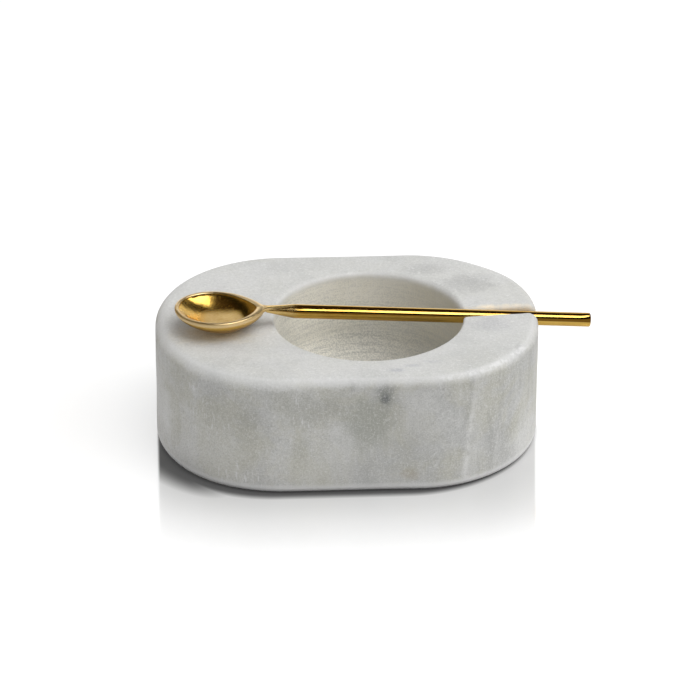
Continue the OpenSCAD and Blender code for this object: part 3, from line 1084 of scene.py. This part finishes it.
# The studio: a glossy white table, a white backdrop low down behind, a dark room, a lamp panel high at
# the right, and a ring and a card that only reflections see
studio = {
    "floorHalf": 3000,
    "floorWhite": 0.93,
    "bounceNear": 0.8,
    "bounceFar": 0.12,
    "bounceReach": (60, 190),
    "floorGloss": 0.3,
    "floorRoughness": 0.12,
    "floorGlow": 0.2,
    "reflectionReach": (0, 50),
    "footShade": 0.86,
    "footShadeReach": (-0.3, 4.2),
    "footShadeShift": (2.8, 0.4),
    "cornerShadeReach": (-4.5, 6),
    "cornerShadeShift": (7, 2.5),
    "cornerShadeSide": (-46, -26),
    "footShadeFront": (-4, -2),
    "footShadeLeft": (-54.4, -53.4),
    "footVeil": 0.25,
    "footVeilRight": 0.1,
    "footVeilReach": (0, 46),
    "footVeilSide": (15, 45),
    "footVeilSlant": 0.09,
    "footVeilEnd": (53.7, 54.7),
    "ringAway": 150,
    "ringHeight": 170,
    "ringLit": (105, 22),       # its lit height at the sides, and how much higher at the back
    "ringEdge": (-1, 1),
    "ringFar": (172, 188),
    "ringPoints": 64,
    "ringFront": 0.2,
    "ringTone": (1, 0.78, 0.42, 1),
    "ringBack": (90, 138),
    "ambient": 0.51,
    "backdropTop": (0.1, 0.25),
    "backdropSide": (-0.05, 0.3),
    "roomDark": 0.032,
    "roomTone": (1, 0.55, 0.2, 1),
    "roomToneEnd": 0.1,
    "roomGlow": 0.8,
    "roomGlowWay": (-0.35, 0.55, 0.76),
    "roomGlowEdge": (0.87, 1.0),
}
keyPanel = {"turn": 75, "height": 62, "away": 1100, "size": (1050, 1400), "power": 9.9}
# The level card overhead
softbox = {
    "corners": [(290, -1080), (290, -230), (430, 60), (700, 380), (1100, 300), (1100, -1080)],
    "height": 1000,
    "level": 3.5,
}


def makeKeyPanel():
    turn, height = math.radians(keyPanel["turn"]), math.radians(keyPanel["height"])
    way = Vector((math.sin(turn) * math.cos(height), -math.cos(turn) * math.cos(height), math.sin(height)))
    data = bpy.data.lights.new("keyPanel", "AREA")
    data.shape = "RECTANGLE"
    data.size, data.size_y = [side * mm for side in keyPanel["size"]]
    data.energy = keyPanel["power"]
    holder = bpy.data.objects.new("keyPanel", data)
    bpy.context.scene.collection.objects.link(holder)
    holder.visible_glossy = False
    holder.location = way * keyPanel["away"] * mm
    holder.rotation_euler = way.to_track_quat("Z", "Y").to_euler()


# How far a place on the table is from the block's foot, with the foot moved by a shift
def footDistance(graph, where, shift):
    moved = graph.shift(where, (shift[0] * mm, shift[1] * mm, 0))
    corner = block["corner"] * mm
    sides = (block["length"] * mm / 2 - corner, block["width"] * mm / 2 - corner)
    past = [(axis.high(0.0 - axis) - side).high(0.0) for axis, side in zip(graph.parts(moved), sides)]
    return (past[0] * past[0] + past[1] * past[1]) ** 0.5 - corner


# Dark close to the block's foot at the front, where no light gets under its eased edge, and a soft
# veil further out for the block's dim reflection
def tableShade(graph, where, fromFoot):
    along, depth, _ = graph.parts(where)
    front = 1.0 - depth.rise(studio["footShadeFront"])
    inside = along.rise(studio["footShadeLeft"])
    near = 1.0 - footDistance(graph, where, studio["footShadeShift"]).rise(studio["footShadeReach"])
    corner = 1.0 - footDistance(graph, where, studio["cornerShadeShift"]).rise(studio["cornerShadeReach"])
    near = near.high(corner * (1.0 - along.rise(studio["cornerShadeSide"])))
    veil = along.rise(studio["footVeilSide"]) * studio["footVeilRight"] + studio["footVeil"]
    veil = veil * (1.0 - fromFoot.rise(studio["footVeilReach"]))
    veil = veil * (1.0 - (along - depth * studio["footVeilSlant"]).rise(studio["footVeilEnd"]))
    return (near * studio["footShade"]).high(veil) * front * inside


def makeTable():
    half = studio["floorHalf"]
    corners = [(-half, -half, 0), (half, -half, 0), (half, half, 0), (-half, half, 0)]
    table = meshObject("tableTop", corners, [(0, 1, 2, 3)])
    material, graph = newFinish("tableWhite")
    where = graph.surfacePlace()
    fromFoot = footDistance(graph, where, (0, 0))
    shade = tableShade(graph, where, fromFoot)
    cameraRay = graph.ray("camera")
    away = graph.length(where).rise(studio["bounceReach"])
    bounce = graph.blend(away, grey(studio["bounceNear"]), grey(studio["bounceFar"]))
    colour = graph.blend(cameraRay, bounce, grey(studio["floorWhite"]))
    matt = graph.add("ShaderNodeBsdfDiffuse", None, {"Color": graph.blend(shade, colour, grey(0.0))})
    gloss = graph.add(
        "ShaderNodeBsdfAnisotropic", None,
        {"Color": graph.blend(shade, grey(1.0), grey(0.0)), "Roughness": studio["floorRoughness"]},
    )
    # The block's reflection fades out a short way from its foot
    share = (1.0 - fromFoot.rise(studio["reflectionReach"])) * studio["floorGloss"]
    mixed = graph.add("ShaderNodeMixShader", None, {0: share, 1: matt, 2: gloss})
    lift = cameraRay * (1.0 - shade) * studio["floorGlow"]
    glow = graph.add("ShaderNodeEmission", None, {"Color": graph.blend(lift, grey(0.0), grey(1.0))})
    both = graph.add("ShaderNodeAddShader", None, {0: mixed, 1: glow})
    graph.add("ShaderNodeOutputMaterial", None, {"Surface": both})
    dress(table, material)


# Makes a card glow for reflections alone; its light comes from a function of the graph and the place
def hideCard(card, light, level):
    material, graph = newFinish(card.name + "Glow")
    colour = light(graph, graph.surfacePlace())
    glow = graph.add("ShaderNodeEmission", None, {"Color": colour, "Strength": level})
    graph.add("ShaderNodeOutputMaterial", None, {"Surface": glow})
    material.cycles.emission_sampling = "NONE"
    dress(card, material)
    card.visible_camera = False
    card.visible_diffuse = False
    card.visible_shadow = False


def ringLight(graph, where):
    _, depth, height = graph.parts(where)
    behind = depth.rise(studio["ringBack"])
    edge, higher = studio["ringLit"]
    over = height - depth * (higher / studio["ringAway"]) - edge * mm
    near = behind * (1.0 - studio["ringFront"]) + studio["ringFront"]
    near = near * (1.0 - over.rise(studio["ringEdge"]))
    far = graph.ray("length").rise(studio["ringFar"])
    tone = graph.blend(behind.high(far), studio["ringTone"], grey(1.0))
    return graph.blend(near.high(far), grey(0.0), tone)


# A ring round the object: the spoon sees it white at the back, dim at the front and dark on top, and
# the table, which is further from it, sees it white, so the table stays white from every side
def makeRing():
    count = studio["ringPoints"]
    angles = np.arange(count) * 2 * math.pi / count
    foot = np.stack([np.cos(angles), np.sin(angles), np.zeros(count)], -1) * studio["ringAway"]
    top = foot + np.array((0, 0, studio["ringHeight"]))
    faces = [(i, (i + 1) % count, (i + 1) % count + count, i + count) for i in range(count)]
    hideCard(meshObject("whiteRing", np.concatenate([foot, top]), faces), ringLight, 1.0)


def makeSoftbox():
    points = [(x, y, softbox["height"]) for x, y in softbox["corners"]]
    card = meshObject("softbox", points, [tuple(range(len(points)))])
    hideCard(card, lambda graph, where: grey(1.0), softbox["level"])


def makeWorld():
    world = bpy.data.worlds.new("studio")
    bpy.context.scene.world = world
    world.use_nodes = True
    graph = Graph(world.node_tree)
    way = graph.add("ShaderNodeTexCoord", None, None, 0)
    _, back, up = graph.parts(way)
    backdrop = (1.0 - up.step(*studio["backdropTop"])) * back.step(*studio["backdropSide"])
    glow = graph.along(way, studio["roomGlowWay"]).step(*studio["roomGlowEdge"]) * studio["roomGlow"]
    lit = backdrop.high(glow)
    cameraRay, glossyRay, clearRay = [graph.ray(kind) for kind in ("camera", "glossy", "transmission")]
    plain = (1.0 - cameraRay) * (1.0 - glossyRay) * (1.0 - clearRay)
    strength = cameraRay.high(clearRay) + glossyRay * (lit + studio["roomDark"]) + plain * studio["ambient"]
    toned = glossyRay * (1.0 - lit.step(0.0, studio["roomToneEnd"]))
    colour = graph.blend(toned, grey(1.0), studio["roomTone"])
    background = graph.add("ShaderNodeBackground", None, {"Color": colour, "Strength": strength})
    graph.add("ShaderNodeOutputWorld", None, {"Surface": background})


makeTable()
makeRing()
makeWorld()
makeSoftbox()
makeKeyPanel()
bpy.context.scene.view_settings.view_transform = "Standard"
print("studio set")
